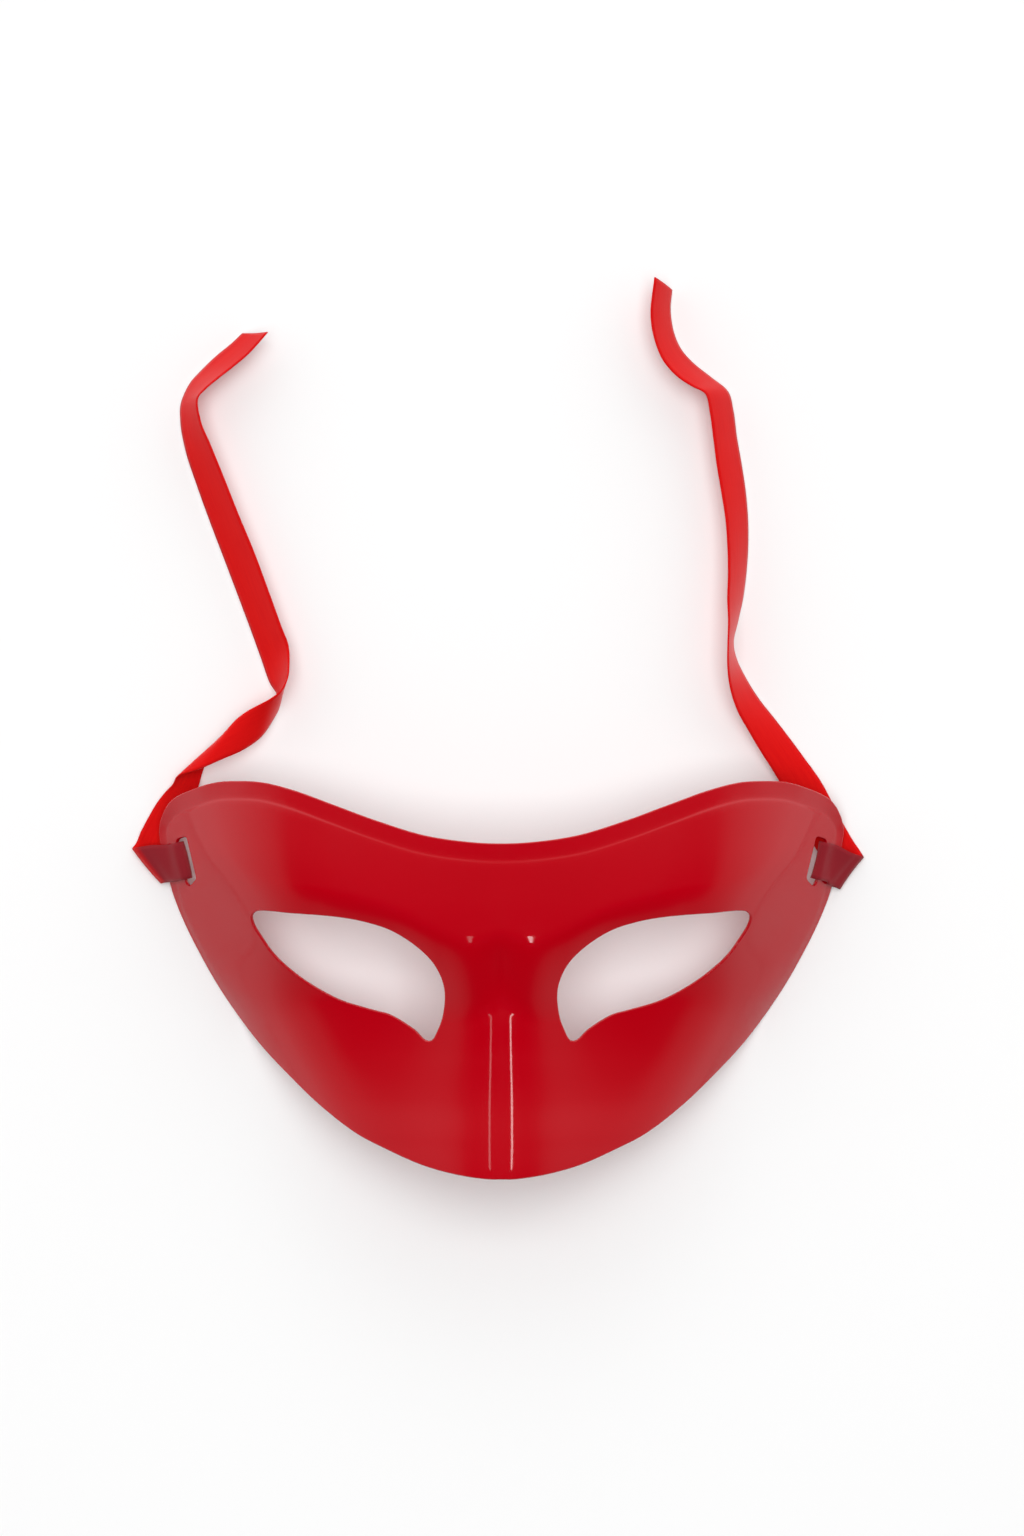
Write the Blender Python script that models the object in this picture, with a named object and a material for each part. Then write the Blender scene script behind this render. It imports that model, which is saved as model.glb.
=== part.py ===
"""A moulded plastic half mask with two flat ribbons, lying face up on a table.

The frame is in millimetres until the meshes are made: X is the wearer's left to right as the
photo shows it, Y points to the forehead, Z points up from the table. The mask is the same left
and right, so every table below gives one half.
"""

import math

import bpy
import numpy as np
from mathutils import Vector
from mathutils.geometry import delaunay_2d_cdt

# Driving sizes of the mask, in millimetres
MASK_WIDTH = 180.6
MASK_HEIGHT = 101.0
BROW_RISE = 36.6
CHEEK_RISE = 30.5
NOSE_RISE = 8.5
WALL = 1.0
# The margin is the flatter band along the trimmed edge, wide along the forehead, narrow below
MARGIN_FOREHEAD = 4.8
MARGIN_TEMPLE = 2.6
MARGIN_CHEEK = 1.5
MARGIN_DROP = 0.35
# Half the width of the rounded step, and the radius of the crease at its foot
MARGIN_SOFTNESS = 0.6
CREASE = 0.5
# Share of the wall's own fall that the margin keeps
MARGIN_FALL = 0.45
# Driving sizes of the ribbons
RIBBON_WIDTH = 10.0
RIBBON_THICKNESS = 1.0
# How coarse the facets are
FACET = 3.4
RIM_FACET = 2.8
RIBBON_FACET = 3.0

HALF_WIDTH = MASK_WIDTH / 2
HALF_HEIGHT = MASK_HEIGHT / 2

# Trimmed edge from the forehead's middle round the temple to the middle under the nose
# columns: share of the half width, share of the half height
OUTLINE = (
    (0.000, 0.686),
    (0.087, 0.693),
    (0.215, 0.726),
    (0.354, 0.801),
    (0.471, 0.877),
    (0.592, 0.954),
    (0.682, 0.993),
    (0.747, 1.000),
    (0.817, 0.994),
    (0.874, 0.968),
    (0.958, 0.899),
    (0.990, 0.815),
    (1.000, 0.736),
    (0.995, 0.664),
    (0.980, 0.555),
    (0.962, 0.402),
    (0.928, 0.246),
    (0.883, 0.087),
    (0.834, -0.069),
    (0.775, -0.225),
    (0.703, -0.378),
    (0.619, -0.521),
    (0.527, -0.662),
    (0.415, -0.800),
    (0.326, -0.873),
    (0.225, -0.943),
    (0.130, -0.982),
    (0.039, -1.000),
    (0.000, -1.000),
)

# Eye hole, clockwise from its outer corner
# columns: share of the half width, share of the half height
EYE = (
    (0.703, 0.329),
    (0.592, 0.323),
    (0.456, 0.305),
    (0.385, 0.282),
    (0.314, 0.241),
    (0.242, 0.161),
    (0.189, 0.064),
    (0.163, -0.054),
    (0.167, -0.186),
    (0.182, -0.264),
    (0.199, -0.316),
    (0.216, -0.315),
    (0.247, -0.264),
    (0.319, -0.189),
    (0.359, -0.171),
    (0.463, -0.119),
    (0.548, -0.042),
    (0.608, 0.035),
    (0.653, 0.111),
    (0.684, 0.188),
    (0.710, 0.265),
    (0.714, 0.306),
)

# Strap slot, its corners, with one more on the slanted lower end
# columns: share of the half width, share of the half height
SLOT = (
    (0.915, 0.710),
    (0.886, 0.491),
    (0.907, 0.451),
    (0.914, 0.469),
    (0.944, 0.692),
)
SLOT_CORNER = 0.8

# Half width at which the wall would meet the table, by the height on the mask
# columns: share of the half height, share of the half width
FOOT_LINE = (
    (-1.10, 0.50),
    (-1.00, 0.551),
    (-0.83, 0.602),
    (-0.68, 0.651),
    (-0.53, 0.693),
    (-0.38, 0.736),
    (-0.226, 0.780),
    (-0.069, 0.839),
    (0.087, 0.894),
    (0.246, 0.940),
    (0.403, 0.980),
    (0.556, 1.018),
    (0.738, 1.053),
    (0.901, 1.085),
    (1.00, 1.102),
    (1.10, 1.117),
)

# Line on which the forehead starts to turn down to the eyes, and how far that turn reaches
# columns: share of the half width, share of the half height, share of the half height
BROW_LINE = (
    (0.000, 0.263, 0.425),
    (0.090, 0.222, 0.455),
    (0.180, 0.270, 0.495),
    (0.310, 0.382, 0.536),
    (0.510, 0.467, 0.616),
    (0.680, 0.511, 0.695),
    (0.830, 0.706, 0.654),
    (1.000, 1.000, 0.576),
)

# Height of the cheeks at the middle line, before they fall to the sides
# columns: share of the half height, share of the cheek's rise
CHEEK_LINE = (
    (-1.20, 1.184),
    (-1.00, 1.266),
    (-0.83, 1.224),
    (-0.615, 1.113),
    (-0.40, 1.023),
    (-0.10, 0.961),
    (0.30, 0.949),
    (1.00, 0.998),
)

# How far the nose stands out over the cheeks along the mask
# columns: share of the half height, share of the nose's rise
NOSE_LINE = (
    (-1.20, 0.80),
    (-1.00, 0.394),
    (-0.83, 0.366),
    (-0.60, 0.512),
    (-0.40, 0.693),
    (-0.10, 0.792),
    (0.15, 0.486),
    (0.40, 0.458),
    (1.20, 0.793),
)
# Half the nose's width where it stands half as high, and the radius of the middle line's crest
NOSE_SPREAD = 19.2
CREST = 11.3

# Exponents: how squarely the brow and the cheek turn down at the sides
BROW_POWER = 4.2
CHEEK_POWER = 7.7
# Share of the cheek's rise that is a straight fall to the side
CHEEK_FALL = 0.535
# The forehead leans back above this share of the half height, by this share of its rise at the top
LEAN_FROM = 0.11
LEAN = 0.25
# The formula's height that lies on the table: what is lower is trimmed flat
TRIM = 3.42

# How a ribbon wraps the strip of shell between the slot and the trimmed edge, from its hidden
# end under the strip, up through the slot and out over the strip
# columns: mm outward from the slot's outer side, mm above the outer surface there
WRAP = (
    (1.30, -4.50),
    (0.10, -3.10),
    (-0.95, -1.85),
    (-1.45, -1.20),
    (-1.62, -0.60),
    (-1.42, 0.05),
    (-1.00, 0.50),
    (-0.45, 0.85),
    (0.15, 0.95),
    (0.75, 0.62),
    (1.60, -0.25),
    (2.80, -1.45),
)
# Shares of the slot's length at which the ribbon's two sides pass
WRAP_SIDES = (0.06, 0.92)

# Run of each ribbon after the strip: a mitre fold, then under the shell and up the photo
# columns: one side's outward place, forward place and height, then the other side's, in mm,
# counted from the slot's middle; heights count from the table
LEFT_RUN = (
    (9.2, 5.1, 3.8, 3.9, -4.6, 4.2),
    (12.0, 4.7, 2.5, 5.4, -4.7, 2.7),
    (13.8, 4.4, 2.1, 6.3, -4.8, 2.1),
    (14.8, 4.2, 1.4, 7.2, -5.0, 1.4),
    (14.1, 5.3, 0.6, 6.6, -3.8, 0.6),
    (12.7, 8.5, 0.6, 4.5, 1.7, 0.6),
    (10.6, 12.5, 0.6, 1.9, 7.5, 0.6),
    (8.4, 16.2, 0.8, -0.5, 12.5, 0.8),
    (6.3, 18.9, 1.2, -2.0, 17.8, 1.2),
    (4.1, 21.1, 2.2, -3.8, 24.6, 1.7),
    (2.5, 23.3, 4.2, -6.8, 31.2, 3.4),
    (-2.9, 25.0, 6.4, -10.1, 35.0, 5.4),
    (-8.9, 27.5, 6.6, -13.0, 38.2, 6.4),
    (-14.6, 30.1, 5.6, -15.9, 40.3, 7.4),
    (-19.5, 33.8, 4.0, -19.3, 42.0, 8.6),
    (-22.4, 38.3, 2.6, -22.4, 43.6, 9.8),
    (-24.0, 41.7, 2.2, -24.9, 45.6, 10.2),
    (-23.5, 44.6, 1.8, -26.5, 48.7, 9.2),
    (-21.5, 47.8, 1.2, -26.9, 53.4, 7.6),
    (-19.4, 53.6, 0.9, -26.5, 57.9, 6.6),
    (-17.4, 59.2, 0.8, -25.0, 61.8, 6.6),
    (-13.5, 69.7, 0.8, -21.4, 71.8, 6.8),
    (-9.5, 80.3, 0.8, -17.5, 82.3, 6.8),
    (-5.7, 90.3, 0.8, -13.4, 92.2, 7.2),
    (-2.0, 100.6, 0.8, -9.5, 102.1, 7.6),
    (0.8, 109.3, 0.8, -6.2, 110.2, 8.2),
    (2.1, 116.7, 0.8, -3.7, 116.4, 8.8),
    (1.8, 122.2, 0.8, -3.1, 122.1, 9.3),
    (-0.3, 126.7, 0.8, -5.1, 124.5, 9.4),
    (-3.3, 130.1, 0.8, -8.1, 127.1, 9.0),
    (-7.1, 133.8, 0.8, -12.1, 130.3, 8.4),
    (-11.1, 137.1, 0.8, -16.4, 134.0, 8.2),
    (-14.2, 140.0, 0.8, -21.3, 139.5, 8.0),
)
RIGHT_RUN = (
    (9.8, 3.0, 3.8, 3.5, -5.4, 4.2),
    (11.5, 2.4, 2.5, 4.9, -5.9, 2.7),
    (12.3, 2.1, 2.1, 5.9, -6.2, 2.1),
    (13.0, 1.9, 1.4, 6.7, -6.6, 1.4),
    (12.5, 3.0, 0.6, 5.9, -5.2, 0.6),
    (10.4, 6.1, 0.6, 3.0, 0.1, 0.6),
    (7.9, 10.4, 0.6, -0.4, 5.6, 0.6),
    (5.3, 15.4, 0.8, -3.1, 11.4, 0.9),
    (1.6, 22.2, 0.8, -6.9, 17.8, 1.6),
    (-2.3, 27.6, 0.8, -10.6, 24.1, 3.0),
    (-6.3, 33.0, 0.8, -14.4, 29.9, 4.6),
    (-10.4, 38.3, 0.8, -17.7, 35.4, 6.0),
    (-14.6, 43.6, 0.8, -20.5, 40.3, 7.6),
    (-18.0, 49.0, 0.8, -22.5, 46.1, 9.2),
    (-20.5, 54.2, 0.8, -23.3, 51.8, 10.4),
    (-21.3, 58.4, 0.8, -23.3, 57.5, 10.6),
    (-20.1, 64.2, 0.8, -23.1, 63.8, 10.3),
    (-18.8, 70.2, 0.8, -23.3, 69.8, 9.8),
    (-18.0, 76.3, 0.8, -23.1, 75.9, 9.4),
    (-17.5, 83.2, 0.8, -23.2, 82.7, 9.0),
    (-17.5, 90.8, 0.8, -23.7, 90.3, 8.6),
    (-18.1, 98.2, 0.8, -24.8, 97.6, 8.4),
    (-19.2, 105.6, 0.8, -26.0, 104.7, 8.4),
    (-20.5, 113.0, 0.8, -26.9, 111.7, 8.6),
    (-21.4, 119.8, 0.8, -27.8, 118.3, 8.8),
    (-22.8, 124.7, 0.9, -29.0, 123.2, 9.2),
    (-27.1, 128.3, 0.9, -32.7, 125.3, 9.4),
    (-31.5, 131.8, 0.8, -36.5, 127.9, 9.2),
    (-34.9, 135.5, 0.8, -40.1, 132.1, 8.8),
    (-37.0, 140.1, 0.8, -42.4, 137.9, 8.6),
    (-37.9, 145.4, 0.8, -43.3, 143.9, 8.4),
    (-37.5, 151.5, 0.8, -42.3, 153.9, 8.2),
)
# The width at which the runs above were read from the photo
READ_WIDTH = 10.0


def smooth_table(at, rows, column=1):
    """Values of one column of a table at the given places, on a smooth curve."""
    rows = np.asarray(rows, float)
    places = rows[:, 0]
    values = rows[:, column]
    slopes = np.gradient(values, places)
    at = np.clip(np.asarray(at, float), places[0], places[-1])
    index = np.clip(np.searchsorted(places, at) - 1, 0, len(places) - 2)
    span = places[index + 1] - places[index]
    t = (at - places[index]) / span
    rise = t * t * (3 - 2 * t)
    lead = t * (1 - t) ** 2
    tail = t * t * (t - 1)
    start = values[index]
    end = values[index + 1]
    return start + (end - start) * rise + span * (slopes[index] * lead + slopes[index + 1] * tail)


def smoothstep(t):
    t = np.clip(t, 0.0, 1.0)
    return t * t * (3 - 2 * t)


def curve_through(points, spacing, closed):
    """Points at about the given spacing on a smooth curve through a table of points."""
    points = np.asarray(points, float)
    count = len(points)
    spans = count if closed else count - 1
    out = []
    for i in range(spans):
        if closed:
            p0, p1, p2, p3 = (points[(i + k) % count] for k in (-1, 0, 1, 2))
        else:
            # The ends lie on the middle line, so the curve goes on into its mirror image
            p0 = points[i - 1] if i else points[1] * (-1, 1)
            p1 = points[i]
            p2 = points[i + 1]
            p3 = points[i + 2] if i + 2 < count else points[-2] * (-1, 1)
        steps = max(1, round(float(np.linalg.norm(p2 - p1)) / spacing))
        k0 = math.sqrt(max(float(np.linalg.norm(p1 - p0)), 1e-9))
        k1 = math.sqrt(max(float(np.linalg.norm(p2 - p1)), 1e-9))
        k2 = math.sqrt(max(float(np.linalg.norm(p3 - p2)), 1e-9))
        m1 = (p2 - p1) + k1 * ((p1 - p0) / k0 - (p2 - p0) / (k0 + k1))
        m2 = (p2 - p1) + k1 * ((p3 - p2) / k2 - (p3 - p1) / (k1 + k2))
        for step in range(steps):
            t = step / steps
            rise = t * t * (3 - 2 * t)
            out.append(p1 + (p2 - p1) * rise + m1 * t * (1 - t) ** 2 + m2 * t * t * (t - 1))
    if not closed:
        out.append(points[-1])
    return np.array(out)


def in_millimetres(table):
    return np.asarray(table, float) * (HALF_WIDTH, HALF_HEIGHT)


def outline_half(spacing):
    """The trimmed edge of the half with positive X, from the forehead down to the nose."""
    line = curve_through(in_millimetres(OUTLINE), spacing, closed=False)
    line[0, 0] = 0.0
    line[-1, 0] = 0.0
    return line


def inward_normals(line):
    """Unit vectors that point into the mask, for a line that runs down the side of positive X."""
    along = np.gradient(line, axis=0)
    along[0] = (1.0, 0.0)
    along[-1] = (-1.0, 0.0)
    normals = np.stack([along[:, 1], -along[:, 0]], axis=1)
    return normals / np.linalg.norm(normals, axis=1, keepdims=True)


RIM = outline_half(0.5)
RIM_INWARD = inward_normals(RIM)


def plain_height(x, y):
    """Height of the outer surface before the margin is pressed in."""
    u = np.abs(x)
    share_x = u / HALF_WIDTH
    share_y = y / HALF_HEIGHT
    across = u / (HALF_WIDTH * smooth_table(share_y, FOOT_LINE))
    lean = LEAN * np.maximum(0.0, share_y - LEAN_FROM) ** 2
    brow = BROW_RISE * (1 - across**BROW_POWER - lean)
    cheek_top = CHEEK_RISE * smooth_table(share_y, CHEEK_LINE)
    crest = across / np.maximum(u, 1e-9) * (np.sqrt(u * u + CREST**2) - CREST)
    cheek = cheek_top * (1 - CHEEK_FALL * crest - (1 - CHEEK_FALL) * across**CHEEK_POWER)
    ridge = smooth_table(share_x, BROW_LINE) * HALF_HEIGHT
    reach = smooth_table(share_x, BROW_LINE, column=2) * HALF_HEIGHT
    face = brow + (cheek - brow) * smoothstep((ridge - y) / reach)
    nose = NOSE_RISE * smooth_table(share_y, NOSE_LINE)
    return face + nose * NOSE_SPREAD**2 / (u * u + NOSE_SPREAD**2)


def nearest_rim(x, y):
    """Nearest sample of the trimmed edge to each point, as an index."""
    found = np.empty(len(x), int)
    for start in range(0, len(x), 2000):
        part = slice(start, start + 2000)
        gap_x = x[part, None] - RIM[None, :, 0]
        gap_y = y[part, None] - RIM[None, :, 1]
        found[part] = np.argmin(gap_x * gap_x + gap_y * gap_y, axis=1)
    return found


def margin(line, inward):
    """Width of the margin, share of its step and share of its flatter fall, along a line."""
    share_y = line[:, 1] / HALF_HEIGHT
    facing_top = smoothstep(-inward[:, 1])
    temple = smoothstep((share_y - 0.25) / 0.3)
    width = MARGIN_CHEEK + (MARGIN_TEMPLE - MARGIN_CHEEK) * temple
    width += (MARGIN_FOREHEAD - MARGIN_TEMPLE) * facing_top
    return width, smoothstep((share_y + 0.25) / 0.45), smoothstep((share_y - 0.35) / 0.25)


def height(x, y):
    """Height of the outer surface over the table, for arrays of X and Y in millimetres."""
    x = np.abs(np.asarray(x, float))
    y = np.asarray(y, float)
    index = nearest_rim(x, y)
    inward = RIM_INWARD[index]
    depth = (x - RIM[index, 0]) * inward[:, 0] + (y - RIM[index, 1]) * inward[:, 1]
    band, stepped, flatter = margin(RIM[index], inward)
    inside = 0.5 * (band - depth + np.sqrt((band - depth) ** 2 + CREASE**2))
    inside = np.where(depth > band + 6 * CREASE, 0.0, inside)
    crease = RIM[index] + inward * band[:, None]
    lower = RIM[index] + inward * (band - inside)[:, None]
    fall = plain_height(crease[:, 0], crease[:, 1]) - plain_height(lower[:, 0], lower[:, 1])
    lift = (1 - MARGIN_FALL) * np.maximum(fall, 0.0) * flatter
    pressed = smoothstep((band + MARGIN_SOFTNESS - depth) / (2 * MARGIN_SOFTNESS))
    return plain_height(x, y) + lift - MARGIN_DROP * stepped * pressed


def normals_at(x, y):
    """Unit normals of the outer surface, pointing away from the face."""
    reach = 0.25
    slope_x = (height(x + reach, y) - height(x - reach, y)) / (2 * reach)
    slope_y = (height(x, y + reach) - height(x, y - reach)) / (2 * reach)
    slope_x = np.where(np.abs(x) < 1e-6, 0.0, slope_x)
    normals = np.stack([-slope_x, -slope_y, np.ones_like(slope_x)], axis=1)
    return normals / np.linalg.norm(normals, axis=1, keepdims=True)


def inside_loop(points, loop):
    """Which points lie inside a closed loop."""
    x = points[:, 0][:, None]
    y = points[:, 1][:, None]
    x1, y1 = loop[:, 0], loop[:, 1]
    x2, y2 = np.roll(x1, -1), np.roll(y1, -1)
    crosses = (y1 > y) != (y2 > y)
    at = x1 + (y - y1) * (x2 - x1) / np.where(y2 == y1, 1e-12, y2 - y1)
    return (crosses & (x < at)).sum(axis=1) % 2 == 1


def distance_to(points, line):
    gap = points[:, None, :] - line[None, :, :]
    return np.sqrt((gap * gap).sum(axis=2).min(axis=1))


def rounded_corners(table, radius):
    """The loop of a table with each corner replaced by three points."""
    corners = in_millimetres(table)
    out = []
    for i, corner in enumerate(corners):
        before = corners[i - 1] - corner
        after = corners[(i + 1) % len(corners)] - corner
        before = corner + before * min(0.4, radius / np.linalg.norm(before))
        after = corner + after * min(0.4, radius / np.linalg.norm(after))
        out += [before, (before + after + 2 * corner) / 4, after]
    return np.array(out)


def half_sheet(facet, rim_facet):
    """Points and triangles of the mask's half with positive X, in plan."""
    rim = outline_half(rim_facet)
    inward = inward_normals(rim)
    band = margin(rim, inward)[0]
    lines = [rim]
    for offset in (-MARGIN_SOFTNESS, MARGIN_SOFTNESS):
        line = rim + inward * (band + offset)[:, None]
        line[0, 0] = 0.0
        line[-1, 0] = 0.0
        lines.append(line)
    eye = curve_through(in_millimetres(EYE), rim_facet, closed=True)
    slot = rounded_corners(SLOT, SLOT_CORNER)
    ends = (rim[-1, 1], rim[0, 1])
    steps = round((ends[1] - ends[0]) / facet)
    spine = np.stack([np.zeros(steps + 1), np.linspace(ends[0], ends[1], steps + 1)], axis=1)[1:-1]
    keep = np.abs(spine[:, 1] - lines[1][0, 1]) > 1.0
    keep &= np.abs(spine[:, 1] - lines[1][-1, 1]) > 1.0
    spine = spine[keep]
    rows = []
    tall = facet * math.sqrt(3) / 2
    for j in range(int(MASK_HEIGHT / tall) + 1):
        y = -HALF_HEIGHT + j * tall
        shift = 0.5 * facet if j % 2 else 0.0
        xs = np.arange(shift + 0.8 * facet, HALF_WIDTH, facet)
        rows.append(np.stack([xs, np.full(len(xs), y)], axis=1))
    grid = np.concatenate(rows)
    good = inside_loop(grid, rim) & ~inside_loop(grid, eye) & ~inside_loop(grid, slot)
    grid = grid[good]
    for line, gap in ((rim, 0.5), (lines[1], 0.45), (lines[2], 0.45), (eye, 0.5), (slot, 0.4)):
        dense = line if line is slot else curve_dense(line, line is eye)
        grid = grid[distance_to(grid, dense) > gap * facet]
    points = []
    edges = []
    for line, closed in ((rim, False), (lines[1], False), (lines[2], False), (eye, True), (slot, True)):
        first = len(points)
        points += [tuple(p) for p in line]
        edges += [(first + i, first + i + 1) for i in range(len(line) - 1)]
        if closed:
            edges.append((first + len(line) - 1, first))
    points += [tuple(p) for p in spine]
    points += [tuple(p) for p in grid]
    vectors = [Vector(p) for p in points]
    found = delaunay_2d_cdt(vectors, edges, [], 0, 1e-5)
    flat = np.array([tuple(p) for p in found[0]])
    triangles = np.array([tuple(face) for face in found[2]])
    centres = flat[triangles].mean(axis=1)
    hull = np.concatenate([rim, [[-1e-4, rim[-1, 1]], [-1e-4, rim[0, 1]]]])
    good = inside_loop(centres, hull) & ~inside_loop(centres, eye) & ~inside_loop(centres, slot)
    corners = flat[triangles]
    area = np.cross(corners[:, 1] - corners[:, 0], corners[:, 2] - corners[:, 0])
    good &= np.abs(area) > 1e-6
    triangles = triangles[good]
    area = area[good]
    triangles[area < 0] = triangles[area < 0][:, ::-1]
    return flat, triangles


def curve_dense(line, closed):
    """The line with three more points between each two."""
    after = np.roll(line, -1, axis=0) if closed else line[1:]
    before = line if closed else line[:-1]
    return np.concatenate([before + (after - before) * t for t in (0.0, 0.25, 0.5, 0.75)])


def whole_sheet(flat, triangles):
    """The half sheet and its mirror image, joined on the middle line."""
    flat = flat.copy()
    flat[np.abs(flat[:, 0]) < 1e-4, 0] = 0.0
    off_middle = np.nonzero(flat[:, 0] > 0)[0]
    twin = np.arange(len(flat))
    twin[off_middle] = len(flat) + np.arange(len(off_middle))
    mirrored = flat[off_middle] * (-1, 1)
    return np.concatenate([flat, mirrored]), np.concatenate([triangles, twin[triangles][:, ::-1]])


def shell_solid(facet, rim_facet):
    """Points and faces of the closed shell: outer skin, inner skin and the trimmed rims."""
    flat, triangles = whole_sheet(*half_sheet(facet, rim_facet))
    used = np.unique(triangles)
    renumber = np.full(len(flat), -1)
    renumber[used] = np.arange(len(used))
    flat = flat[used]
    triangles = renumber[triangles]
    outer = np.column_stack([flat, height(flat[:, 0], flat[:, 1])])
    inner = outer - WALL * normals_at(flat[:, 0], flat[:, 1])
    count = len(flat)
    edges = np.concatenate([triangles[:, [0, 1]], triangles[:, [1, 2]], triangles[:, [2, 0]]])
    there = {tuple(edge) for edge in edges.tolist()}
    rims = [edge for edge in there if (edge[1], edge[0]) not in there]
    faces = [tuple(face) for face in triangles.tolist()]
    faces += [tuple(count + i for i in reversed(face)) for face in triangles.tolist()]
    for a, b in sorted(rims):
        faces += [(b, a, count + a), (b, count + a, count + b)]
    points = np.concatenate([outer, inner])
    points[:, 2] = np.maximum(points[:, 2] - TRIM, 0.0)
    return points, faces


def wrap_stations():
    """Both sides of the ribbon round the strip of shell, for the side with positive X."""
    corners = in_millimetres(SLOT)
    top = corners[4]
    along = corners[3] - top
    outward = np.array([-along[1], along[0]]) / np.linalg.norm(along)
    feet = [top + along * share for share in WRAP_SIDES]
    base = height(np.array([p[0] for p in feet]), np.array([p[1] for p in feet])) - TRIM
    rows = []
    for out, up in WRAP:
        one, other = (foot + outward * out for foot in feet)
        rows.append((*one, base[0] + up, *other, base[1] + up))
    return rows


def stations(run):
    """Every station of a ribbon: one side's point, then the other's."""
    middle = in_millimetres(SLOT).mean(axis=0)
    shift = np.array([*middle, 0.0, *middle, 0.0])
    rows = np.array(wrap_stations() + [tuple(np.array(row) + shift) for row in run])
    centres = (rows[:, :3] + rows[:, 3:]) / 2
    halves = (rows[:, 3:] - rows[:, :3]) / 2 * (RIBBON_WIDTH / READ_WIDTH)
    return np.concatenate([centres - halves, centres + halves], axis=1)


def finer(rows, spacing):
    """The stations with more between them, on smooth curves along both sides."""
    centres = (rows[:, :3] + rows[:, 3:]) / 2
    gaps = np.maximum(np.linalg.norm(np.diff(centres, axis=0), axis=1), 0.2)
    places = np.concatenate([[0.0], np.cumsum(gaps)])
    at = [0.0]
    for start, gap in zip(places, gaps):
        steps = max(1, round(gap / spacing))
        at += [start + gap * (k + 1) / steps for k in range(steps)]
    columns = [smooth_table(at, np.stack([places, column], axis=1)) for column in rows.T]
    return np.stack(columns, axis=1)


def ribbon_solid(run, side):
    """Points and faces of one ribbon: four corners at each station."""
    rows = finer(stations(run), RIBBON_FACET)
    one = rows[:, :3]
    other = rows[:, 3:]
    along = np.gradient((one + other) / 2, axis=0)
    up = np.cross(along, other - one)
    up /= np.linalg.norm(up, axis=1, keepdims=True)
    half = up * RIBBON_THICKNESS / 2
    rings = np.stack([one + half, other + half, other - half, one - half], axis=1)
    rings[:, :, 2] = np.maximum(rings[:, :, 2], 0.0)
    rings[:, :, 0] *= side
    count = len(rings)
    faces = []
    for i in range(count - 1):
        for k in range(4):
            a, b = 4 * i + k, 4 * i + (k + 1) % 4
            faces += [(a, b, b + 4), (a, b + 4, a + 4)]
    last = 4 * (count - 1)
    faces += [(0, 2, 1), (0, 3, 2), (last, last + 1, last + 2), (last, last + 2, last + 3)]
    if side > 0:
        faces = [face[::-1] for face in faces]
    return rings.reshape(-1, 3), faces


def plastic(name, colour, roughness):
    material = bpy.data.materials.new(name)
    material.use_nodes = True
    shader = material.node_tree.nodes["Principled BSDF"]
    shader.inputs["Base Color"].default_value = (*colour, 1.0)
    shader.inputs["Roughness"].default_value = roughness
    return material


def add_object(name, points, faces, material):
    mesh = bpy.data.meshes.new(name)
    mesh.from_pydata([tuple(p / 1000) for p in points], [], faces)
    mesh.validate()
    mesh.materials.append(material)
    obj = bpy.data.objects.new(name, mesh)
    bpy.context.scene.collection.objects.link(obj)
    return obj


def main():
    for item in list(bpy.data.objects):
        bpy.data.objects.remove(item, do_unlink=True)
    red_plastic = plastic("red_plastic", (0.52, 0.0, 0.01), 0.1)
    points, faces = shell_solid(FACET, RIM_FACET)
    add_object("mask_shell", points, faces, red_plastic)
    print("mask_shell", len(faces), "triangles, height", round(float(points[:, 2].max()), 1))
    satin = plastic("red_satin", (0.6, 0.01, 0.01), 0.4)
    for name, run, side in (("ribbon_left", LEFT_RUN, -1), ("ribbon_right", RIGHT_RUN, 1)):
        points, faces = ribbon_solid(run, side)
        add_object(name, points, faces, satin)
        print(name, len(faces), "triangles")


if __name__ == "__main__":
    main()
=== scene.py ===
# %% [markdown]
# # A glossy half mask with two satin ribbons
#
# The object is a party mask: one thin moulded shell of glossy red plastic that covers the upper
# face, and one satin ribbon through a slot at each temple. It lies face up on a white table, and
# the camera looks straight down at it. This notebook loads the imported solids, sets the camera,
# dresses each piece in turn, and then lights the table.

import math

import bpy
import numpy as np
from mathutils import Matrix, Vector
from mathutils.geometry import delaunay_2d_cdt


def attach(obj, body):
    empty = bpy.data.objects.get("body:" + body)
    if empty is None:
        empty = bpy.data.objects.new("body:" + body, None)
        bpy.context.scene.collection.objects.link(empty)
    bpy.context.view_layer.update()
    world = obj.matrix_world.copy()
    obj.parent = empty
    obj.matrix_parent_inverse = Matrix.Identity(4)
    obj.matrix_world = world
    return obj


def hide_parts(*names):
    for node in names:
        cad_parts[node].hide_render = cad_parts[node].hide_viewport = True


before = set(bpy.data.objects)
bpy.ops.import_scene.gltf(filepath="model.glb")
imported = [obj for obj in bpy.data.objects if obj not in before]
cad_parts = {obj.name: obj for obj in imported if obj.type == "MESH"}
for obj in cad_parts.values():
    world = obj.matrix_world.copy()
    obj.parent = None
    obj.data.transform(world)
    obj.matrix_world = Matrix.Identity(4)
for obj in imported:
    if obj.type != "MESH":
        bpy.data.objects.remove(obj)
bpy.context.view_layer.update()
MM = 0.001
print("nodes:", sorted(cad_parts))

# %% [markdown]
# ## The camera
# A tabletop photo from above keeps the table's plane parallel to the picture. The camera hangs
# about 96 cm over the table, a little to the right of the mask's middle and in line with the
# ribbons' middle, because the picture holds the mask at its foot and the ribbons above it.

# %% Camera
CAMERA_PLACE = (2.8, 53.8, 957.5)
CAMERA_LENS = 85.0

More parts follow.
